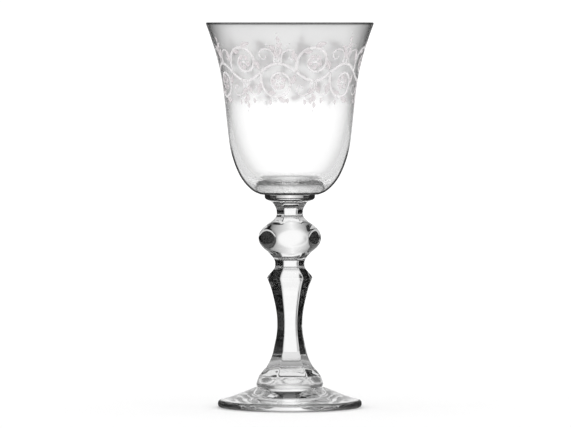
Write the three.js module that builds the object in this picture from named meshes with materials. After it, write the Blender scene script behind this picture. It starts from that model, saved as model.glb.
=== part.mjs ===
// A stemmed liqueur glass, in millimetres. +Z is up, and the glass stands on z = 0 with its axis on Z.
// It is put together as a hand-built stem is: a spread foot, a stem base, a baluster, a faceted knop
// between two short necks, a button and a thin blown bowl. Each piece is fused to the flat face of the
// one below it, so the pieces meet face to face. The stem has six panels, and two of them face +Y and -Y.
import * as THREE from "three";

// Lengths along the axis, from the table up
const footHeight = 6.9;
const stemBaseHeight = 3.7;
const balusterHeight = 36.5;
const lowerNeckHeight = 3.8;
const knopHeight = 13.5;
const upperNeckHeight = 4.8;
const buttonHeight = 2.8;
const bowlHeight = 58;

// Radii, which on a panelled piece are measured to its corners
const footRadius = 24.3;
const stemBaseRadius = 11.3;
const balusterFootRadius = 10.4;
const balusterShoulderRadius = 7.7;
const balusterWaistRadius = 4.24;
const lowerNeckRadius = 4.96;
const upperNeckRadius = 4.43;
const knopRadius = 10.75;
const buttonRadius = 8.5;
const bowlSeatRadius = 10.2;
const rimRadius = 28.3;

// Glass thicknesses and small features
const rimWall = 0.75;
const bowlFloor = 5;
const bowlFloorDip = 0.2;
const footEdgeThickness = 2.2;
const footEdgeRound = 0.7;
const footDishDepth = 2.4;
const footRestWidth = 2;
const footSeatMargin = 0.1;
const stemBaseChamfer = 0.7;
const buttonEdgeThickness = 1.3;
// How far a neck's radius grows towards the piece above it, and at its narrower lower end
const upperNeckFlare = 1.4;
const lowerNeckFlare = 0.95;
const neckEndFlare = 0.2;

// How finely the curves are cut
const panels = 6;
const stepsPerPanel = 6;
const turnSteps = 48;
const bowlSteps = 20;
const knopSteps = 20;
const balusterSteps = 24;
const shortSteps = 6;
const edgeSteps = 3;

// Proportions of the knop and of the bowl's wall
const knopMiddleShare = 0.467; // where the knop is widest, as a share of its height
const knopBallShare = 1.037; // the ball's half-height as a share of the knop's
const knopRoundness = 1.8; // 2 is an ellipse, and less is leaner at the shoulders
const flareSlopeShare = 0.9; // how fast the knop's end flares widen with height
const flareReachShare = 0.7; // how far from the knop's middle the end flares begin
const wallThinning = 2.8; // how quickly the bowl's wall thins above its floor

const halfPanel = Math.PI / panels;
const flatShare = Math.cos(halfPanel); // a panel's distance from the axis as a share of its corner radius

// The heights at which the pieces meet
const footTop = footHeight;
const stemBaseTop = footTop + stemBaseHeight;
const balusterTop = stemBaseTop + balusterHeight;
const lowerNeckTop = balusterTop + lowerNeckHeight;
const knopTop = lowerNeckTop + knopHeight;
const upperNeckTop = knopTop + upperNeckHeight;
const buttonTop = upperNeckTop + buttonHeight;

// The radii at which the necks meet their neighbours
const lowerNeckBottomRadius = lowerNeckRadius + neckEndFlare;
const lowerNeckTopRadius = lowerNeckRadius + lowerNeckFlare;
const upperNeckBottomRadius = upperNeckRadius + neckEndFlare;
const upperNeckTopRadius = upperNeckRadius + upperNeckFlare;

const glass = new THREE.MeshStandardMaterial({ color: 0xeef2f3, roughness: 0.05, metalness: 0 });
const stemGlass = new THREE.MeshStandardMaterial({ color: 0xe6ebec, roughness: 0.05, metalness: 0 });

// A smooth curve through [radius, height] points, cut into equal steps.
function smooth(points, steps) {
  const curve = new THREE.SplineCurve(points.map(([radius, height]) => new THREE.Vector2(radius, height)));
  return curve.getPoints(steps);
}

// A round piece turned about Z from an outline that starts and ends on the axis.
function turned(outline) {
  const geometry = new THREE.LatheGeometry(outline, turnSteps);
  return geometry.rotateX(Math.PI / 2);
}

// The radius of a regular section at an angle: a circle of the corner radius, cut by flats whose
// middles lie half a panel from each corner.
function cutRadius(cornerRadius, flatDistance, angle) {
  const fromFlat = (angle % (2 * halfPanel)) - halfPanel;
  return Math.min(cornerRadius, flatDistance / Math.cos(fromFlat));
}

// A piece lofted through horizontal sections. radiusAt gives a section's radius at a height and an angle.
function lofted(heights, radiusAt) {
  const around = panels * stepsPerPanel;
  const positions = [];
  heights.forEach((height) => {
    for (let i = 0; i < around; i++) {
      const angle = (i / around) * 2 * Math.PI;
      const radius = radiusAt(height, angle);
      positions.push(radius * Math.cos(angle), radius * Math.sin(angle), height);
    }
  });
  const bottomCentre = positions.length / 3;
  positions.push(0, 0, heights[0]);
  positions.push(0, 0, heights[heights.length - 1]);
  const topCentre = bottomCentre + 1;
  const topRing = (heights.length - 1) * around;
  const faces = [];
  for (let i = 0; i < around; i++) {
    const next = (i + 1) % around;
    for (let ring = 0; ring < topRing; ring += around) {
      faces.push(ring + i, ring + next, ring + around + next);
      faces.push(ring + i, ring + around + next, ring + around + i);
    }
    faces.push(bottomCentre, next, i);
    faces.push(topCentre, topRing + i, topRing + next);
  }
  const geometry = new THREE.BufferGeometry();
  geometry.setAttribute("position", new THREE.Float32BufferAttribute(positions, 3));
  geometry.setIndex(faces);
  geometry.computeVertexNormals();
  return geometry;
}

// A panelled piece that follows a smooth outline: each section is a hexagon of that outline's radius.
function panelled(outlinePoints, steps) {
  const outline = smooth(outlinePoints, steps);
  const radii = new Map(outline.map((point) => [point.y, point.x]));
  return lofted([...radii.keys()], (height, angle) => {
    const radius = radii.get(height);
    return cutRadius(radius, radius * flatShare, angle);
  });
}

// The foot: a flat cone with a rounded edge, slightly dished underneath so that it rests on a ring.
function foot() {
  const seatRadius = stemBaseRadius + footSeatMargin;
  const dishRadius = footRadius - footEdgeRound - footRestWidth;
  const slope = footHeight - footEdgeThickness;
  const reach = footRadius - footEdgeRound - seatRadius;
  const slopeShares = [[1, 0.05], [0.75, 0.25], [0.5, 0.474], [0.25, 0.73], [0.08, 0.885], [0, 1]];
  const cone = slopeShares.map(([out, up]) => [seatRadius + out * reach, footEdgeThickness + up * slope]);
  const dishShares = [[0, 1], [0.37, 0.97], [0.65, 0.69], [0.83, 0.33], [1, 0]];
  const dish = dishShares.map(([out, up]) => [out * dishRadius, up * footDishDepth]);
  const edge = new THREE.Path();
  edge.moveTo(footRadius - footEdgeRound, 0);
  edge.quadraticCurveTo(footRadius, 0, footRadius, footEdgeRound);
  edge.lineTo(footRadius, footEdgeThickness - footEdgeRound);
  edge.quadraticCurveTo(footRadius, footEdgeThickness, ...cone[0]);
  const outline = [...smooth(dish, shortSteps), ...edge.getPoints(edgeSteps), ...smooth(cone, shortSteps).slice(1)];
  return turned([...outline, new THREE.Vector2(0, footHeight)]);
}

// The stem base: a low six-sided block with softened corners and a chamfer under the baluster.
function stemBase() {
  const top = stemBaseHeight;
  const levels = [
    [0, stemBaseRadius - stemBaseChamfer / 2],
    [stemBaseChamfer / 2, stemBaseRadius],
    [top - stemBaseChamfer, balusterFootRadius + stemBaseChamfer / 2],
    [top, balusterFootRadius],
  ];
  const radii = new Map(levels);
  const softFlatShare = (flatShare + 1) / 2;
  return lofted([...radii.keys()], (height, angle) => {
    const radius = radii.get(height);
    return cutRadius(radius, radius * softFlatShare, angle);
  });
}

// The baluster: an inverted one, with its shoulder near the top, a slim waist and a spread lower end.
function baluster() {
  const shoulder = balusterShoulderRadius;
  const waist = balusterWaistRadius;
  const spread = balusterFootRadius;
  const lowerShares = [[1, 0], [0.805, 0.044], [0.57, 0.088], [0.385, 0.145], [0.2, 0.25], [0.1, 0.33], [0.015, 0.4]];
  const upperShares = [[0, 0.5], [0.09, 0.59], [0.31, 0.7], [0.53, 0.79], [0.84, 0.865], [1, 0.907]];
  const neckShares = [[0.85, 0.932], [0.33, 0.967], [0, 1]];
  const neck = lowerNeckBottomRadius;
  return panelled([
    ...lowerShares.map(([out, up]) => [waist + out * (spread - waist), up * balusterHeight]),
    ...upperShares.map(([out, up]) => [waist + out * (shoulder - waist), up * balusterHeight]),
    ...neckShares.map(([out, up]) => [neck + out * (shoulder - neck), up * balusterHeight]),
  ], balusterSteps);
}

// A neck between a narrower lower end and a flared upper end, with its waist between them.
function neck(height, bottomRadius, waistRadius, topRadius) {
  const flareShares = [[0, 0.3], [0.16, 0.58], [0.5, 0.8], [1, 1]];
  return panelled([
    [bottomRadius, 0],
    ...flareShares.map(([out, up]) => [waistRadius + out * (topRadius - waistRadius), up * height]),
  ], shortSteps);
}

// The knop: a flattened ball with six flat oval facets, joined to each neck by a short panelled flare.
function knop() {
  const middle = knopHeight * knopMiddleShare;
  const ballHeight = (knopHeight / 2) * knopBallShare;
  const flareAt = (distanceFromEnd, endRadius) => endRadius + distanceFromEnd * flareSlopeShare;
  const heights = Array.from({ length: knopSteps + 1 }, (unused, i) => (i / knopSteps) * knopHeight);
  return lofted(heights, (height, angle) => {
    const away = Math.min(1, Math.abs(height - middle) / ballHeight);
    const ball = knopRadius * Math.pow(1 - Math.pow(away, knopRoundness), 1 / knopRoundness);
    const atLowerEnd = height < middle;
    const flare = atLowerEnd
      ? flareAt(height, lowerNeckTopRadius)
      : flareAt(knopHeight - height, upperNeckBottomRadius);
    const inFlare = Math.abs(height - middle) > middle * flareReachShare;
    const ballSection = cutRadius(ball, knopRadius * flatShare, angle);
    return inFlare ? Math.max(ballSection, cutRadius(flare, flare * flatShare, angle)) : ballSection;
  });
}

// The button: a round wafer with a rounded underside, pressed between the upper neck and the bowl.
function button() {
  const underside = buttonHeight - buttonEdgeThickness;
  const undersideShares = [[0, 0], [0.18, 0.2], [0.4, 0.41], [0.66, 0.6], [0.87, 0.8], [1, 1]];
  const reach = buttonRadius - upperNeckTopRadius;
  const curve = undersideShares.map(([out, up]) => [upperNeckTopRadius + out * reach, up * underside]);
  return turned([
    new THREE.Vector2(0, 0),
    ...smooth(curve, shortSteps),
    new THREE.Vector2(buttonRadius, underside + buttonEdgeThickness / 2),
    new THREE.Vector2(buttonRadius, buttonHeight),
    new THREE.Vector2(0, buttonHeight),
  ]);
}

// The bowl: a bell with a flared rim, whose flat bottom reaches a little past the button. The inside is
// the outside set in by the wall, which thickens from the rim to the floor, and the rim is rounded over.
function bowl() {
  const bellShares = [
    [0, 0], [0.077, 0.0112], [0.155, 0.0276], [0.27, 0.062], [0.409, 0.133], [0.492, 0.202],
    [0.553, 0.272], [0.586, 0.335], [0.627, 0.465], [0.674, 0.603], [0.746, 0.743], [0.804, 0.814],
    [0.873, 0.884], [0.929, 0.936], [1, 1],
  ];
  const reach = rimRadius - bowlSeatRadius;
  const bell = smooth(bellShares.map(([out, up]) => [bowlSeatRadius + out * reach, up * bowlHeight]), bowlSteps);
  const insetFrom = (point, index) => {
    const before = bell[Math.max(index - 1, 0)];
    const after = bell[Math.min(index + 1, bell.length - 1)];
    const along = after.clone().sub(before).normalize();
    const thinning = Math.pow(1 - index / bowlSteps, wallThinning);
    const wall = rimWall + (bowlFloor - rimWall) * thinning;
    return new THREE.Vector2(point.x - along.y * wall, point.y + along.x * wall);
  };
  const inside = bell.slice(1, bowlSteps).map((point, i) => insetFrom(point, i + 1)).reverse();
  const rimMiddle = bell[bowlSteps].clone();
  rimMiddle.x -= rimWall / 2;
  const rimRound = new THREE.Path().absarc(rimMiddle.x, rimMiddle.y - rimWall / 2, rimWall / 2, 0, Math.PI);
  return turned([
    new THREE.Vector2(0, 0),
    ...bell.slice(0, bowlSteps),
    ...rimRound.getPoints(edgeSteps),
    ...inside,
    new THREE.Vector2(0, inside[inside.length - 1].y - bowlFloorDip),
  ]);
}

const liqueurGlass = new THREE.Group();

// Adds a piece whose own lowest face is at z = 0, standing at a height on the axis.
function stand(name, geometry, material, height) {
  const mesh = new THREE.Mesh(geometry, material.clone());
  mesh.name = name;
  mesh.position.z = height;
  liqueurGlass.add(mesh);
}

stand("foot", foot(), stemGlass, 0);
stand("stem_base", stemBase(), stemGlass, footTop);
stand("baluster_stem", baluster(), stemGlass, stemBaseTop);
stand("lower_neck", neck(lowerNeckHeight, lowerNeckBottomRadius, lowerNeckRadius, lowerNeckTopRadius),
  stemGlass, balusterTop);
stand("faceted_knop", knop(), stemGlass, lowerNeckTop);
stand("upper_neck", neck(upperNeckHeight, upperNeckBottomRadius, upperNeckRadius, upperNeckTopRadius),
  stemGlass, knopTop);
stand("bowl_button", button(), stemGlass, upperNeckTop);
stand("bowl", bowl(), glass, buttonTop);

export default liqueurGlass;
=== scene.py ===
import math

import bpy
import numpy as np
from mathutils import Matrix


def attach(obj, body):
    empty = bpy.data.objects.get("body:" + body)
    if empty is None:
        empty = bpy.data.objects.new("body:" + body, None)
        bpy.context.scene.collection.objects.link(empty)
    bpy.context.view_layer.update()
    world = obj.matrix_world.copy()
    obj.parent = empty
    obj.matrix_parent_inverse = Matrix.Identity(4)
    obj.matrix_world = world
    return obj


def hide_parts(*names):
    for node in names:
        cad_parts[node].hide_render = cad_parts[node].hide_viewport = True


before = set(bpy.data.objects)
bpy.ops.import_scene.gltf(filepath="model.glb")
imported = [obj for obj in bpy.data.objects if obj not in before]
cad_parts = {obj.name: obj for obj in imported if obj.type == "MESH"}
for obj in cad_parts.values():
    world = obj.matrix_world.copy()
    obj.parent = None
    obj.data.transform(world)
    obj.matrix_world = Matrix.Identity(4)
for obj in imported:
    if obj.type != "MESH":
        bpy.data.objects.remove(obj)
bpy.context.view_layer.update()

# Stage: the photographer stands level with the rim, far back with a long lens that looks a little down,
# so the rim shows as a straight line and the foot as a slim ellipse. The backdrop is white, and the glass
# is lit through openings between dark cards, which draws part of the black lines along its edges; painted
# shade in the glass draws the rest.
MM = 0.001
rim_height = 0.130
frame_width = 0.1928
camera_distance = 1.71
camera_turn = math.radians(-5.5)
aim_height = 0.0653
picture_pixels = 571
pixels_aside = 4.3


class Shade:
    """An output socket. Arithmetic on it adds the Math nodes of that sum, and node() adds any other node."""

    def __init__(self, tree, socket=None):
        self.tree = tree
        self.socket = socket

    def node(self, kind, settings=None, inputs=None, output=0):
        """Adds a node, makes its settings, then gives its inputs values or links, and wraps an output."""
        made = self.tree.nodes.new(kind)
        for name, value in (settings or {}).items():
            setattr(made, name, value)
        for name, value in (inputs or {}).items():
            if isinstance(value, Shade):
                self.tree.links.new(value.socket, made.inputs[name])
            else:
                made.inputs[name].default_value = value
        return Shade(self.tree, made.outputs[output] if made.outputs else None)

    def math(self, operation, second=0.0, first=None):
        """A Math node of this output and a second operand, or of another first one and the second."""
        operands = {0: self if first is None else first, 1: second}
        return self.node("ShaderNodeMath", {"operation": operation}, operands)

    def ramp(self, low, high, start=0.0, end=1.0):
        """Goes smoothly from start at low to end at high, and stays there beyond them."""
        settings = {"interpolation_type": "SMOOTHSTEP"}
        return self.node("ShaderNodeMapRange", settings, {0: self, 1: low, 2: high, 3: start, 4: end})

    def __add__(self, other):
        return self.math("ADD", other)

    def __sub__(self, other):
        return self.math("SUBTRACT", other)

    def __mul__(self, other):
        return self.math("MULTIPLY", other)

    def __truediv__(self, other):
        return self.math("DIVIDE", other)

    def __rsub__(self, other):
        return self.math("SUBTRACT", self, other)

    __radd__ = __add__
    __rmul__ = __mul__


def bare_material(name):
    """A material with an empty node tree, and the tree wrapped for making nodes in it."""
    material = bpy.data.materials.new(name)
    material.use_nodes = True
    material.node_tree.nodes.clear()
    return material, Shade(material.node_tree)


camera_data = bpy.data.cameras.new("camera")
camera_data.sensor_width = 36
camera_data.lens = camera_data.sensor_width * camera_distance / frame_width
camera = bpy.data.objects.new("camera", camera_data)
camera.location = (camera_distance * math.sin(camera_turn), -camera_distance * math.cos(camera_turn),
                   rim_height)
look_down = math.atan((rim_height - aim_height) / camera_distance)
look_aside = math.atan(pixels_aside / picture_pixels * frame_width / camera_distance)
camera.rotation_euler = (math.pi / 2 - look_down, 0, camera_turn + look_aside)
bpy.context.collection.objects.link(camera)
bpy.context.scene.camera = camera
bpy.context.scene.view_settings.view_transform = "Standard"
cycles = bpy.context.scene.cycles
cycles.max_bounces = 24
cycles.transmission_bounces = 24
cycles.glossy_bounces = 12
cycles.transparent_max_bounces = 48

world = bpy.data.worlds.new("studio")
bpy.context.scene.world = world
world.use_nodes = True
world.node_tree.nodes.clear()
world.cycles.sampling_method = "NONE"
studio = Shade(world.node_tree)
ray = studio.node("ShaderNodeTexCoord")
direction = studio.node("ShaderNodeSeparateXYZ", inputs={0: ray})
east, north, z = (Shade(studio.tree, socket) for socket in direction.socket.node.outputs)
x = east * math.cos(camera_turn) + north * math.sin(camera_turn)
y = north * math.cos(camera_turn) - east * math.sin(camera_turn)
sideways = x.math("ABSOLUTE")
lengthways = y.math("ABSOLUTE")
# The glass sees four upright openings, before, behind and at the two sides, each brightest along its
# middle and narrower at its top, and the glow of the table below them. The rest is dark.
aside = sideways.math("MINIMUM", lengthways) * (sideways - lengthways).ramp(-0.02, 0.02, 1, 1.5)
steepness = z.math("ABSOLUTE")
level = steepness - z.ramp(-0.05, 0.05) * 0.12
half_width = level.ramp(0.26, 0.32, 0.39, 0.47) - level.ramp(0.40, 0.48, 0, 0.31)
inside_edge = (aside - half_width).ramp(-0.02, 0.03, 1, 0)
openings = (1.03 - aside * 1.75) * inside_edge * steepness.ramp(0.58, 0.68, 1, 0)
low_front = z.ramp(-0.21, -0.12, 1, 0) * y.ramp(-0.2, 0.2, 1, 0)
low_back = z.ramp(-0.62, -0.50, 1, 0)
table_glow = low_front.math("MAXIMUM", low_back) * 0.9
seen_in_glass = openings.math("MAXIMUM", table_glow) * 1.12 + 0.008
# The camera sees the plain white backdrop directly, and whatever is matt is lit by it.
paths = studio.node("ShaderNodeLightPath").socket.node.outputs
plainly_lit = Shade(studio.tree, paths["Is Camera Ray"]) + Shade(studio.tree, paths["Diffuse Depth"])
strength = (plainly_lit.math("MINIMUM", 1.0) * 1.06).math("MAXIMUM", seen_in_glass)
light = studio.node("ShaderNodeBackground", inputs={"Color": (1, 1, 1, 1), "Strength": strength})
studio.node("ShaderNodeOutputWorld", inputs={"Surface": light})


def paper(name):
    """Matt white paper with a faint uneven grain."""
    material, sheet = bare_material(name)
    grain = sheet.node("ShaderNodeTexNoise", inputs={"Scale": 60.0, "Detail": 3.0})
    shader = sheet.node("ShaderNodeBsdfDiffuse", inputs={"Color": 0.965 + grain * 0.02})
    sheet.node("ShaderNodeOutputMaterial", inputs={"Surface": shader})
    return material


def painted_light_card(name):
    """
    A glowing card that the glass shows in place of the table: painted grey shade under the foot, and a
    painted light strip that turns white where it runs away behind the foot, between painted dark sides.
    """
    material, card = bare_material(name)
    place = card.node("ShaderNodeSeparateXYZ", inputs={0: card.node("ShaderNodeTexCoord", output=3)})
    across, back, _ = (Shade(card.tree, socket) for socket in place.socket.node.outputs)
    # Painted light and shade: a glowing strip, grey where the foot's shadow would fall, near black beyond.
    strip = across.math("ABSOLUTE").ramp(0.011, 0.019, 1, 0)
    beside = (across * across + back * back).math("SQRT").ramp(0.024, 0.031, 0.62, 0.03)
    shade = beside + strip * (back.ramp(0.002, 0.017, 0.3, 0.93) - beside)
    shader = card.node("ShaderNodeEmission", inputs={"Color": shade})
    card.node("ShaderNodeOutputMaterial", inputs={"Surface": shader})
    return material


def lit_side(name):
    """A grey reflector that lights the knop or the bowl from below. Its back lets everything through."""
    material, card = bare_material(name)
    lit = card.node("ShaderNodeEmission", inputs={"Color": (0.8, 0.8, 0.8, 1)})
    behind = card.node("ShaderNodeBsdfTransparent")
    seen_from_back = card.node("ShaderNodeNewGeometry", output=6)
    shader = card.node("ShaderNodeMixShader", inputs={0: seen_from_back, 1: lit, 2: behind})
    card.node("ShaderNodeOutputMaterial", inputs={"Surface": shader})
    return material


def stage_sheet(name, points, faces, material):
    """A thin sheet of the studio, from points in metres, squared up to the camera."""
    mesh = bpy.data.meshes.new(name)
    mesh.from_pydata(points.tolist(), [], faces)
    mesh.materials.append(material)
    sheet = bpy.data.objects.new(name, mesh)
    sheet.rotation_euler[2] = camera_turn
    bpy.context.collection.objects.link(sheet)
    return sheet


def flat_disc(name, radius, height, material, steps=96):
    """A flat round sheet on the table, of a radius in metres."""
    turn = np.arange(steps) / steps * 2 * math.pi
    circle = np.stack([radius * np.cos(turn), radius * np.sin(turn), 0 * turn + height], -1)
    return stage_sheet(name, circle, [list(range(steps))], material)


def seen_only_through_glass(sheet):
    """Keeps a sheet out of the picture and out of the light that falls on the table."""
    sheet.visible_camera = False
    sheet.visible_diffuse = False
    sheet.visible_shadow = False


# Through the glass the table shows as a glowing card with painted shade under the foot and a painted
# light strip, and two pairs of low reflectors stand at its sides. None of them shows beside the glass.
table_radius = 0.60
card_radius = 0.060
table = flat_disc("table", table_radius, -0.0001, paper("white_paper"))
table.visible_transmission = False
table.visible_glossy = False
# A glowing card in place of the table, seen only through the glass, with painted shade and a light strip.
glowing_table_stand_in = flat_disc("glowing_table_stand_in", card_radius, -0.00005, painted_light_card("painted_light_card"))
seen_only_through_glass(glowing_table_stand_in)
knop_shelf = [(0.0085, 0.0495), (0.090, 0.0495)]
bowl_shelf = [(0.030, 0.068), (0.300, 0.068)]
shelf_steps = 32
for side in (-1, 1):
    bearing = np.radians(np.linspace(22, 152, shelf_steps))
    outward = np.stack([side * np.sin(bearing), np.cos(bearing)], -1)
    arcs = [np.c_[outward * radius, 0 * bearing + height] for radius, height in knop_shelf + bowl_shelf]
    corners = [*range(shelf_steps - 1), *range(2 * shelf_steps, 3 * shelf_steps - 1)]
    faces = [(i, i + 1, i + shelf_steps + 1, i + shelf_steps)[::side] for i in corners]
    name = "left_reflector" if side < 0 else "right_reflector"
    seen_only_through_glass(stage_sheet(name, np.concatenate(arcs), faces, lit_side(name + "_card")))


# Foot: a round foot of clear glass, pressed as a very low cone. Its edge is fire-polished round, and
# underneath it is dished a little, so it stands on a ring near the edge. The stem is fused to the flat
# seat at its middle.
round_steps = 192
around = np.arange(round_steps) / round_steps * 2 * math.pi
foot_height = 6.9
foot_radius = 24.3
seat_radius = 11.4
base_bottom_radius = 10.95


def through(points, count, soften=0):
    """
    A smooth curve through the points, as an array of count points evenly spaced along it. Each stretch is a
    cubic whose slope at a point follows the chord between its neighbours. soften is the width, in
    points, of a bell-shaped running mean that eases the bends and keeps the two ends.
    """
    knots = np.array(points, float)
    along = np.concatenate([[0], np.cumsum(np.linalg.norm(np.diff(knots, axis=0), axis=1))])
    slopes = np.gradient(knots, along, axis=0)
    at = np.linspace(0, along[-1], count)
    k = np.clip(np.searchsorted(along, at, side="right") - 1, 0, len(along) - 2)
    span = (along[k + 1] - along[k])[:, None]
    u = (at - along[k])[:, None] / span
    curve = ((2 * u ** 3 - 3 * u ** 2 + 1) * knots[k] + (3 * u ** 2 - 2 * u ** 3) * knots[k + 1]
             + (u ** 3 - 2 * u ** 2 + u) * span * slopes[k] + (u ** 3 - u ** 2) * span * slopes[k + 1])
    if soften:
        weights = np.hanning(2 * soften + 1)
        padded = np.pad(curve, ((soften, soften), (0, 0)), mode="reflect", reflect_type="odd")
        curve = np.stack([np.convolve(column, weights / weights.sum(), "valid") for column in padded.T], -1)
    return curve


def panelled(angle, sharpness):
    """
    How far a six-panelled section reaches at an angle, as a share of its corner radius. It is the
    distance to six flats whose middles lie between the corners, joined by a power mean of the given
    power, so a higher power gives a sharper corner.
    """
    middles = (np.arange(6) + 0.5) * math.pi / 3
    facing = np.maximum(np.cos(angle[..., None] - middles), 0)
    reach = (facing ** sharpness).sum(-1) ** (-1 / sharpness)
    return reach * math.cos(math.pi / 6) * 2 ** (1 / sharpness)


def stack_rings(radii, heights):
    """Rings of points from a (rings, around) array of radii in millimetres and the height of each ring."""
    turn = np.arange(radii.shape[1]) / radii.shape[1] * 2 * math.pi
    rows = np.broadcast_to(np.asarray(heights)[:, None], radii.shape)
    return np.stack([radii * np.cos(turn), radii * np.sin(turn), rows], -1) * MM


def glass_piece(name, rings, glass, fused_below, fused_above, lining=None, lining_from=0):
    """
    One closed piece from rings of points, joined ring to ring with quads, with a flat face at each end. A
    fused end face lets light straight through, because the glass has no surface inside a fused joint. A
    lining is a second glass, for the faces from a certain ring on and for the end face after them.
    """
    count, steps, _ = rings.shape
    i = np.arange(steps)
    start = (np.arange(count - 1) * steps)[:, None]
    j = (i + 1) % steps
    quads = np.stack([start + i, start + j, start + steps + j, start + steps + i], -1).reshape(-1, 4)
    corners = np.concatenate([quads.ravel(), i[::-1], (count - 1) * steps + i])
    sizes = np.concatenate([np.full(len(quads), 4), [steps, steps]])
    mesh = bpy.data.meshes.new(name)
    mesh.vertices.add(count * steps)
    mesh.vertices.foreach_set("co", rings.ravel())
    mesh.loops.add(len(corners))
    mesh.loops.foreach_set("vertex_index", corners)
    mesh.polygons.add(len(sizes))
    mesh.polygons.foreach_set("loop_start", np.concatenate([[0], np.cumsum(sizes)[:-1]]))
    smooth = np.concatenate([np.ones(len(quads), bool), [not fused_below, not fused_above]])
    mesh.polygons.foreach_set("use_smooth", smooth)
    slots = np.concatenate([np.zeros(len(quads), int), [int(fused_below), int(fused_above)]])
    mesh.materials.append(glass)
    mesh.materials.append(fused_joint)
    if lining:
        slots[lining_from * steps:len(quads)] = 2
        slots[-1] = 2
        mesh.materials.append(lining)
    mesh.polygons.foreach_set("material_index", slots)
    mesh.update(calc_edges=True)
    mesh.validate()
    piece = bpy.data.objects.new(name, mesh)
    bpy.context.collection.objects.link(piece)
    return piece


def clear_glass(name, tint, ripple, ripple_size, polish, rubbed, painted_seam_shade=(), ior=1.52, painted_top_shade=None, edges=(),
                milky=(), satin=0):
    """
    Clear glass, faintly rippled by the mould and the fire polish, and rubbed a little duller in places.
    polish and rubbed are its least and greatest roughness, and the top tint is its tint above the bowl's
    middle, which paints shade on the upper bowl. A painted seam shade is a height and half a width in
    metres, with the share of light that a dark line painted into the tint there stops, standing in for the
    shade that refraction draws at the joints and the rim. An edge is three ramps, over the surface's turn
    from the eye, its height and its distance from the middle of the foot, and their product is the share of
    painted dark shade there. Where edges meet, the larger share holds. milky is a height ramp's two ends
    and the share of white haze below it, and satin is the roughness that is added above the bowl's middle.
    """
    material, glass = bare_material(name)
    place = glass.node("ShaderNodeTexCoord", output=3)
    height = glass.node("ShaderNodeSeparateXYZ", inputs={0: place}, output=2)
    # Painted shade: the tint turns darker above the bowl's middle, standing in for shade on the upper bowl.
    clear = height.ramp(0.098, 0.120, tint, painted_top_shade or tint)
    # Painted shade: each line darkens the tint in a thin band, standing in for the shade that refraction
    # draws.
    for shade_line_height, half_width, stopped in painted_seam_shade:
        beside = (height - shade_line_height).math("ABSOLUTE")
        clear = clear * beside.ramp(half_width / 2, half_width, 1 - stopped, 1)
    waves = glass.node("ShaderNodeTexNoise", inputs={
        "Vector": place, "Scale": 1 / ripple_size, "Detail": 1.0})
    bumps = glass.node("ShaderNodeBump", inputs={"Height": waves, "Strength": 1.0, "Distance": ripple})
    wear = glass.node("ShaderNodeTexNoise", inputs={"Vector": place, "Scale": 240.0, "Detail": 4.0})
    roughness = wear.ramp(0.45, 0.75, polish, rubbed) + height.ramp(0.098, 0.106, 0, satin)
    shader = glass.node("ShaderNodeBsdfPrincipled", inputs={
        "Base Color": clear, "Roughness": roughness, "IOR": ior, "Transmission Weight": 1.0,
        "Normal": bumps})
    if edges:
        # Painted shade: a near black matt finish mixed in where the glass is seen edge on, in height and
        # radius bands.
        facing = glass.node("ShaderNodeLayerWeight", inputs={"Blend": 0.5}, output=1)
        shade = glass.node("ShaderNodeBsdfDiffuse", inputs={"Color": (0.02, 0.02, 0.02, 1)})
        radius = glass.node("ShaderNodeVectorMath", {"operation": "LENGTH"}, {0: place}, 1)
        shares = [facing.ramp(*across) * height.ramp(*up) * radius.ramp(*out) for across, up, out in edges]
        share = shares[0]
        for other in shares[1:]:
            share = share.math("MAXIMUM", other)
        shader = glass.node("ShaderNodeMixShader", inputs={0: share, 1: shader, 2: shade})
    if milky:
        milk = glass.node("ShaderNodeBsdfDiffuse", inputs={"Color": (0.9, 0.9, 0.9, 1)})
        cloud = glass.node("ShaderNodeTexNoise", inputs={"Vector": place, "Scale": 700.0, "Detail": 2.0})
        share = height.ramp(*milky, 0) * cloud.ramp(0.35, 0.65, 0.6, 1.2)
        shader = glass.node("ShaderNodeMixShader", inputs={0: share, 1: shader, 2: milk})
    glass.node("ShaderNodeOutputMaterial", inputs={"Surface": shader})
    return material


# Where two pieces are fused there is no surface, so this finish lets all light straight through.
fused_joint, joint = bare_material("fused_joint")
joint.node("ShaderNodeOutputMaterial", inputs={"Surface": joint.node("ShaderNodeBsdfTransparent")})
edge_band = (0.0232, 0.0240)
# Painted shade on the foot: its rounded rim darkened, most where it is seen edge on.
foot_edges = [((0.10, 0.35), (0.0026, 0.0034, 0.6, 0), edge_band),
              ((0.50, 0.75), (0.0026, 0.0034, 0.8, 0), edge_band)]
foot_glass = clear_glass("foot_glass", 0.97, 0.00002, 0.009, 0.02, 0.04, edges=foot_edges)

dish = through([(0.3, 2.4), (8, 2.3), (14, 1.6), (18, 0.75), (21.2, 0)], 24)
resting = through([(21.6, 0), (23.2, 0)], 5)
foot_edge = through([(23.6, 0.08), (24.08, 0.35), (24.28, 0.8), (foot_radius, 1.35), (24.15, 1.95),
                     (23.75, 2.33)], 14)
cone = through([(23.1, 2.55), (21.6, 3.0), (19.6, 3.7), (17.6, 4.4), (15.8, 5.1), (14.2, 5.72), (13.0, 6.2),
                (12.1, 6.55), (seat_radius, foot_height)], 34, soften=2)
foot_profile = np.concatenate([dish, resting, foot_edge, cone])
foot_radii = np.repeat(foot_profile[:, :1], round_steps, axis=1)
block_section = panelled(around, 24)
seat_shape = base_bottom_radius * (1 + block_section) / 2
foot_radii = np.concatenate([foot_radii, seat_shape[None]])
foot_rings = stack_rings(foot_radii, np.append(foot_profile[:, 1], foot_height))
foot = glass_piece("round_foot", foot_rings, foot_glass, False, True)
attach(foot, "root")
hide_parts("foot")


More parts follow.
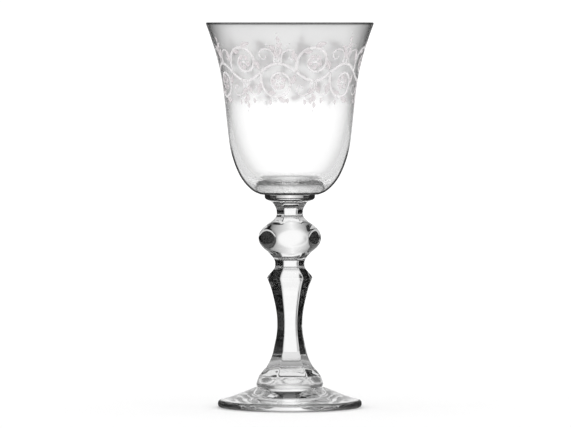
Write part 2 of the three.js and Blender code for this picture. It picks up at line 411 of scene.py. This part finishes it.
# Stem base: a low six-sided block of glass between the foot and the baluster, with soft corners. It is
# pressed in one heat with the foot.
# Painted shade: dark lines in the tint where the stem's parts join, standing in for shade from refraction.
stem_painted_seam_shade = [(0.0692, 0.0004, 0.97), (0.0643, 0.0004, 0.35), (0.05085, 0.0004, 0.9), (0.0465, 0.0004, 0.3),
              (0.0099, 0.0003, 0.3)]
anywhere = (0, 1, 1, 1)
# Painted shade: the button darkened above where the neck spreads into it, where it is seen edge on.
stem_edges = [((0.30, 0.42), (0.0697, 0.0702, 0, 0.95), anywhere)]
stem_glass = clear_glass("stem_glass", 0.84, 0.000012, 0.006, 0.0, 0.02, stem_painted_seam_shade, edges=stem_edges)
base_glass = clear_glass("base_glass", 0.97, 0.000012, 0.006, 0.16, 0.2, stem_painted_seam_shade,
                         milky=(0.0108, 0.0109, 0.2))
base_top = 10.6
base_top_radius = 10.4
base_outline = through([(base_bottom_radius, foot_height), (11.2, 7.25), (11.3, 7.8), (11.15, 8.6),
                        (10.9, 9.4), (10.6, 10.1), (base_top_radius, base_top)], 26, soften=2)
base_flatness = np.maximum(np.linspace(0.5, 1, len(base_outline))[:, None] ** 2, 0.5)
base_section = 1 + (block_section - 1) * base_flatness
base_rings = stack_rings(base_outline[:, :1] * base_section, base_outline[:, 1])
stem_base = glass_piece("six_sided_base", base_rings, base_glass, True, True)
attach(stem_base, "root")
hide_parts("stem_base")


# Baluster: the tall six-panelled part of the stem, with a ridge at its shoulder, a slim waist and a foot
# that spreads onto the base. Each panel is flat across and hollowed along its length.
baluster_top = 47.1
baluster_top_radius = 5.16
stem_section = panelled(around, 44)
lower_panels = [(base_top_radius, base_top), (9.75, 11.45), (9.2, 12.15), (8.45, 12.95), (7.75, 13.8),
                (7.3, 14.6), (6.6, 15.95), (6.15, 17.0), (5.8, 18.1), (5.4, 19.9), (4.95, 22.0), (4.55, 24.0),
                (4.32, 26.0), (4.24, 28.6), (4.38, 31.2), (4.7, 33.3), (5.1, 35.3), (5.6, 37.4), (6.05, 39.3),
                (6.6, 41.0), (7.2, 42.5), (7.66, 43.7)]
upper_panels = [(7.66, 43.9), (7.35, 44.45), (6.8, 45.1), (6.25, 45.7), (5.7, 46.35), (5.35, 46.8),
                (baluster_top_radius, baluster_top)]
baluster_outline = np.concatenate([through(lower_panels, 150, soften=4),
                                   through(upper_panels, 24, soften=2)])
baluster_rings = stack_rings(baluster_outline[:, :1] * stem_section, baluster_outline[:, 1])
baluster = glass_piece("baluster", baluster_rings, stem_glass, True, True)
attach(baluster, "root")
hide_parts("baluster_stem")


# Lower neck: the short drawn-in length of panelled glass between the baluster and the knop. It is pulled
# out of the same hot stem, so the six panels run on through it.
lower_neck_top = 50.9
lower_neck_top_radius = 5.91
lower_neck_outline = through([(baluster_top_radius, baluster_top), (5.0, 47.9), (4.96, 48.8), (5.12, 49.6),
                              (5.45, 50.3), (lower_neck_top_radius, lower_neck_top)], 30, soften=2)
lower_neck_rings = stack_rings(lower_neck_outline[:, :1] * stem_section, lower_neck_outline[:, 1])
lower_neck = glass_piece("lower_collar_neck", lower_neck_rings, stem_glass, True, True)
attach(lower_neck, "root")
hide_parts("lower_neck")


# Knop: a flattened ball of solid glass with six flat ovals cut round its middle. A short panelled flare
# joins it to the neck at each end. Its radius is a soft minimum of a ball's and of six flats', and a soft
# maximum of that and of the flares'.
knop_top = 64.4
knop_top_radius = 4.63
knop_middle = 57.3
knop_radius = 10.75
knop_half_height = 7.0
ball_power = 1.8
facet_crispness = 50
flare_crispness = 40
knop_heights = np.linspace(lower_neck_top, knop_top, 120)
away = np.abs(knop_heights - knop_middle) / knop_half_height
ball = (knop_radius * (1 - np.clip(away, 0, 0.9999) ** ball_power) ** (1 / ball_power))[:, None]
flat = knop_radius * panelled(around, 60)
facets = (ball ** -facet_crispness + flat ** -facet_crispness) ** (-1 / facet_crispness)
flare_in = lower_neck_top_radius + 0.9 * (knop_heights - lower_neck_top)
flare_out = knop_top_radius + 0.95 * (knop_top - knop_heights)
flare = np.where(knop_heights < knop_middle, flare_in, flare_out)
flare_share = np.clip((away - 0.55) / 0.15, 0, 1)
flare_shape = (flare * flare_share)[:, None] * stem_section
knop_radii = (facets ** flare_crispness + flare_shape ** flare_crispness) ** (1 / flare_crispness)
knop_radii[0] = flare_in[0] * stem_section
knop_radii[-1] = flare_out[-1] * stem_section
knop = glass_piece("oval_cut_knop", stack_rings(knop_radii, knop_heights), stem_glass, True, True)
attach(knop, "root")
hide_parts("faceted_knop")


# Upper neck: the slimmest part of the stem, drawn out of the same panelled glass and spreading to the
# button above it.
upper_neck_top = 69.2
upper_neck_top_radius = 5.83
upper_neck_outline = through([(knop_top_radius, knop_top), (4.47, 65.1), (4.43, 65.9), (4.55, 66.9),
                              (4.83, 67.6), (5.25, 68.35), (upper_neck_top_radius, upper_neck_top)],
                             36, soften=3)
upper_neck_rings = stack_rings(upper_neck_outline[:, :1] * stem_section, upper_neck_outline[:, 1])
upper_neck = glass_piece("slim_upper_neck", upper_neck_rings, stem_glass, True, True)
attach(upper_neck, "root")
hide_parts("upper_neck")


# Button: a round wafer of glass between the stem and the bowl, rounded underneath, that gave the bowl
# its wide seat while both were hot.
button_top = 72.0
button_radius = 8.5
button_underside = through([(upper_neck_top_radius, upper_neck_top), (6.3, 69.5), (6.9, 69.82),
                            (7.6, 70.1), (8.15, 70.4), (8.42, 70.8)], 20, soften=2)
button_side = through([(8.47, 71.0), (button_radius, 71.3), (button_radius, button_top)], 10)
button_outline = np.concatenate([button_underside, button_side])
roundness = np.clip(np.arange(len(button_outline)) / 6, 0, 1)[:, None]
button_section = roundness + (1 - roundness) * stem_section
button_rings = stack_rings(button_outline[:, :1] * button_section, button_outline[:, 1])
button = glass_piece("bowl_seat_button", button_rings, stem_glass, True, True)
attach(button, "root")
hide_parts("bowl_button")


# Bowl: a thin blown bell of clear glass with a flared, fire-polished rim. The wall is under a millimetre
# at the rim and thickens to several at the floor, where the bowl is fused to the button.
# Painted shade: a dark line in the tint where the bowl sits on the button, and one along the rim.
bowl_painted_line_shade = [(0.0724, 0.0006, 0.93), (0.1300, 0.0011, 0.95)]
# Painted shade: the bowl's outline darkened where it is seen edge on, and a dark band along its seat.
bowl_edges = [((0.70, 0.80), (0.084, 0.092, 0.95, 0.19), anywhere),
              ((0.30, 0.95), (0.110, 0.129, 0.11, 0.76), anywhere),
              (anywhere, (0.07255, 0.07295, 0.75, 0), anywhere)]
# Painted shade in the bowl's glass: a darker tint on the upper bowl.
bowl_glass = clear_glass("bowl_glass", 0.985, 0.000015, 0.016, 0.02, 0.04, bowl_painted_line_shade, ior=1.22,
                         painted_top_shade=0.86, edges=bowl_edges)
bowl_lining = clear_glass("bowl_lining", 0.985, 0.000015, 0.016, 0.16, 0.2, ior=1.22, painted_top_shade=0.86,
                          milky=(0.0764, 0.0790, 0.35), satin=0.13)
rim_top = rim_height / MM
bell = through([(10.25, 72.14), (10.6, 72.26), (11.6, 72.65), (13.0, 73.6), (14.1, 74.6), (15.1, 75.7),
                (16.4, 77.5), (17.6, 79.8), (19.1, 83.7), (20.15, 87.8), (20.75, 91.8), (21.15, 95.4),
                (21.55, 99.2), (21.97, 103.2), (22.42, 107.2), (23.0, 111.1), (23.75, 115.1),
                (24.75, 119.2), (26.0, 123.3), (27.1, 126.7), (28.3, rim_top)], 170, soften=3)
rim_wall = 0.75
floor_wall = 4.6
floor_dip = 0.2
wall_thinning = 3.5
rise = np.linspace(0, 1, len(bell))[:, None]
wall = rim_wall + (floor_wall - rim_wall) * (1 - rise) ** wall_thinning
heading = np.gradient(bell, axis=0)
heading /= np.linalg.norm(heading, axis=1, keepdims=True)
inward = np.stack([-heading[:, 1], heading[:, 0]], -1)
inside = (bell + inward * wall)[::-1]
bend = np.linspace(0, math.pi, 13)[1:-1, None]
lip = bell[-1] + inward[-1] * rim_wall / 2
rim = lip - inward[-1] * np.cos(bend) * rim_wall / 2 + heading[-1] * np.sin(bend) * rim_wall / 2
lip_excess = rim[:, 1].max() - rim_top
floor_reach = np.linspace(1, 0.03, 14)[1:]
inner_floor = np.stack([floor_reach * inside[-1, 0], inside[-1, 1] - floor_dip * (1 - floor_reach ** 2)], -1)
seat_edge = through([(button_radius, button_top), (9.9, button_top), (10.1, 72.04)], 6)
bowl_profile = np.concatenate([seat_edge, bell, rim, inside, inner_floor])
waist_height = 100
above_waist = np.clip((bowl_profile[:, 1] - waist_height) / (rim_top - waist_height), 0, 1)
bowl_profile[:, 1] -= above_waist * lip_excess
bowl_radii = np.repeat(bowl_profile[:, :1], round_steps, axis=1)
bowl = glass_piece("bell_bowl", stack_rings(bowl_radii, bowl_profile[:, 1]), bowl_glass, True, False,
                   bowl_lining, len(seat_edge) + len(bell) + len(rim))
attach(bowl, "root")
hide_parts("bowl")


# Etching: a band of fine scrolling vine below the rim, bitten into the outside of the bowl with acid. Its
# lines are frosted white and its petals and leaves are a fainter frost. Six equal lengths go round the
# bowl, each with one scroll that curls down and one that curls up, with sprigs between them.
band_middle = 113.4
band_radius = 23.2
repeats = 6
repeat_length = 2 * math.pi * band_radius / repeats
stroke_steps = 13
along = np.linspace(0, 1, stroke_steps)
tapered = np.clip(np.minimum(along + 0.1, 1 - along) * 6, 0.12, 1)
leaf_shape = np.sin(math.pi * np.clip(along, 0.02, 0.98)) ** 0.8 * (1.2 - 0.4 * along)
petal_shape = np.sin(math.pi * np.clip(along, 0.03, 0.97) ** 1.4) ** 0.7
disc_shape = np.sqrt(np.clip(1 - (2 * along - 1) ** 2, 0.01, 1))
outer_face = bowl_profile[:len(seat_edge) + len(bell)]
fine_lines = []
faint_fills = []


def scroll(centre, start, last_radius, turns, count):
    """A spiral from a start point in to a last radius round its centre. It closes in faster at first."""
    reach = np.subtract(start, centre)
    at = np.linspace(0, 1, count)
    first_radius = np.hypot(*reach)
    spiral_radii = first_radius + (last_radius - first_radius) * at ** 0.62
    spiral_angles = math.atan2(reach[1], reach[0]) + turns * 2 * math.pi * at
    return centre + np.stack([spiral_radii * np.cos(spiral_angles), spiral_radii * np.sin(spiral_angles)], -1)


def leaf(base, heading, length, width, bend):
    """A pointed leaf with a fine rib. Its axis starts at the base and turns evenly by the bend."""
    headings = heading + bend * along
    steps = np.stack([np.cos(headings), np.sin(headings)], -1) * length / (stroke_steps - 1)
    axis = base + np.cumsum(steps, axis=0) - steps[0]
    faint_fills.append((axis, 1.8 * width * leaf_shape))
    fine_lines.append((axis, 0.9 * tapered))


def berry(centre, radius):
    """A small round dot, drawn as a short stroke as wide as it is long in the middle."""
    axis = np.stack([centre[0] + radius * (2 * along - 1), 0 * along + centre[1]], -1)
    fine_lines.append((axis, 2 * radius * disc_shape))


def flower(centre, radius, spin):
    """Five petals round a dot."""
    berry(centre, 0.24 * radius)
    for heading in spin + np.arange(5) * 2 * math.pi / 5:
        outward = np.array([math.cos(heading), math.sin(heading)])
        axis = centre + outward * radius * (0.3 + 0.7 * along[:, None])
        faint_fills.append((axis, 1.15 * radius * petal_shape))


def leaves_along(stem, places, side, length, width):
    """Leaves that spring from a stem at the given shares of its length, all on its left or its right."""
    for share in places:
        k = int(share * (len(stem) - 2))
        heading = math.atan2(*(stem[k + 1] - stem[k])[::-1])
        leaf(stem[k], heading + side * 0.95, length * (1.1 - 0.4 * share), width, side * -0.7)


def stem_line(stem, pieces, width):
    """A stem drawn as a few strokes that meet end to end, thinning towards its tip."""
    for piece in range(pieces):
        at = (piece + along) / pieces
        where = at * (len(stem) - 1)
        points = np.stack([np.interp(where, np.arange(len(stem)), column) for column in stem.T], -1)
        fine_lines.append((points, width * (1 - 0.45 * at)))


wave_height = 2.9
vine_width = 1.5
branch_width = 1.6
berries = ((-2.6, 5.6, 0.34), (-3.3, 6.4, 0.28), (2.9, 5.9, 0.34), (3.7, 6.6, 0.26), (0, 10.0, 0.3))
vine_at = np.linspace(0, repeat_length, 49)
vine = np.stack([vine_at, wave_height * np.sin(2 * math.pi * vine_at / repeat_length)], -1)
stem_line(vine, 4, vine_width)
fine_lines[:] = [(points, 0 * widths + vine_width) for points, widths in fine_lines]
for crest, side in ((0.25, 1), (0.75, -1)):
    middle = np.array([crest * repeat_length, -side * 3.4])
    branch = scroll(middle, vine[int((len(vine) - 1) * (crest - 0.25))], 1.9, side * 1.3, 61)
    stem_line(branch, 5, branch_width)
    flower(middle, 2.6, 0.4 * side)
    leaves_along(branch, (0.08, 0.26, 0.45), -side, 3.8, 1.4)
    leaves_along(branch, (0.16,), side, 3.0, 1.2)
    top = np.array([crest * repeat_length, side * wave_height])
    sprig = through([top, top + (0.4, side * 2.4), top + (-0.5, side * 4.9), top + (0.3, side * 7.2)], 31)
    stem_line(sprig, 2, 0.9)
    leaves_along(sprig, (0.25, 0.65), 1, 3.2, 1.3)
    leaves_along(sprig, (0.4, 0.8), -1, 3.0, 1.2)
    leaf(sprig[-1], side * math.pi / 2, 1.9, 0.9, 0.2)
    tendril = scroll(top + (4.2, side * 2.3), top + (1.2, -side * 0.15), 0.5, side * -1.1, 31)
    stem_line(tendril, 2, 0.8)
    tendril = scroll(top + (-4.4, side * 2.6), top + (-1.4, -side * 0.15), 0.5, side * 1.1, 31)
    stem_line(tendril, 2, 0.8)
    for out, up, size in berries:
        berry(top + (out, side * up), size)
drops = 4
for drop in range(drops):
    hang = np.array([(drop + 0.5) * repeat_length / drops, -9.2 + 0.5 * (drop % 2)])
    leaf(hang, -math.pi / 2, 1.7, 0.7, 0)


def etched(name, strokes, material):
    """
    A mesh of strokes that lie on the bowl's outer face. Each stroke has points in millimetres round and up
    the band, and a width at each point. It becomes a flattened six-sided tube, three hundredths of a
    millimetre proud of the glass, and the whole set is repeated round the bowl.
    """
    axes = np.array([points for points, widths in strokes])
    widths = np.array([widths for points, widths in strokes])[:, :, None, None]
    headings = np.gradient(axes, axis=1)
    headings /= np.linalg.norm(headings, axis=-1, keepdims=True) + 1e-9
    across = np.stack([-headings[..., 1], headings[..., 0]], -1)[:, :, None]
    section = np.array([-0.5, -0.14, 0.14, 0.5, 0.14, -0.14])[:, None]
    proud = np.array([0.014, 0.03, 0.03, 0.014, 0.006, 0.006])
    flat = (axes[:, :, None] + across * widths * section)[None]
    heights = band_middle + flat[..., 1]
    turns = flat[..., 0] / band_radius + (np.arange(repeats) * 2 * math.pi / repeats)[:, None, None, None]
    turns, heights = np.broadcast_arrays(turns, heights)
    radii = np.interp(heights, outer_face[:, 1], outer_face[:, 0]) + proud
    points = np.stack([radii * np.cos(turns), radii * np.sin(turns), heights], -1).reshape(-1, 3) * MM
    tubes = repeats * len(strokes)
    corner = np.arange(6)
    first = (np.arange(tubes) * stroke_steps * 6)[:, None, None]
    ring = (np.arange(stroke_steps - 1) * 6)[:, None]
    here = first + ring + corner
    beside = first + ring + (corner + 1) % 6
    quads = np.stack([here, here + 6, beside + 6, beside], -1).reshape(-1, 4)
    start_caps = first[:, 0] + corner
    end_caps = start_caps[:, ::-1] + (stroke_steps - 1) * 6
    loops = np.concatenate([quads.ravel(), start_caps.ravel(), end_caps.ravel()])
    counts = np.concatenate([np.full(len(quads), 4), np.full(2 * tubes, 6)])
    mesh = bpy.data.meshes.new(name)
    mesh.vertices.add(len(points))
    mesh.vertices.foreach_set("co", points.ravel())
    mesh.loops.add(len(loops))
    mesh.loops.foreach_set("vertex_index", loops)
    mesh.polygons.add(len(counts))
    mesh.polygons.foreach_set("loop_start", np.concatenate([[0], np.cumsum(counts)[:-1]]))
    depth = mesh.attributes.new("etch_depth", "FLOAT", "POINT")
    depth.data.foreach_set("value", np.tile([0.0, 1.0, 1.0, 0.0, 1.0, 1.0], tubes * stroke_steps))
    mesh.materials.append(material)
    mesh.update(calc_edges=True)
    mesh.validate()
    strokes_object = bpy.data.objects.new(name, mesh)
    bpy.context.collection.objects.link(strokes_object)
    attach(strokes_object, "root")
    return strokes_object


def frost(name, light, dark, cover):
    """
    A dusty white frost that lets part of the light through, bitten a little unevenly. Its cover fades out
    towards the edges of each stroke.
    """
    material, etch = bare_material(name)
    place = etch.node("ShaderNodeTexCoord", output=3)
    bite = etch.node("ShaderNodeTexNoise", inputs={"Vector": place, "Scale": 900.0, "Detail": 3.0})
    colour = etch.node("ShaderNodeMix", {"data_type": "RGBA"}, {0: bite, 6: dark, 7: light}, 2)
    depth = etch.node("ShaderNodeAttribute", {"attribute_name": "etch_depth"}, output=2)
    bitten = bite.ramp(0.3, 0.7, cover * 0.8, cover * 1.2) * depth
    shader = etch.node("ShaderNodeBsdfPrincipled", inputs={
        "Base Color": colour, "Roughness": 0.85, "Alpha": bitten})
    etch.node("ShaderNodeOutputMaterial", inputs={"Surface": shader})
    return material


line_frost = frost("line_frost", (0.97, 0.955, 0.96, 1), (0.92, 0.89, 0.90, 1), 0.48)
fill_frost = frost("fill_frost", (0.86, 0.80, 0.82, 1), (0.78, 0.72, 0.735, 1), 0.42)
etched("etched_vine_lines", fine_lines, line_frost)
etched("etched_leaf_fills", faint_fills, fill_frost)
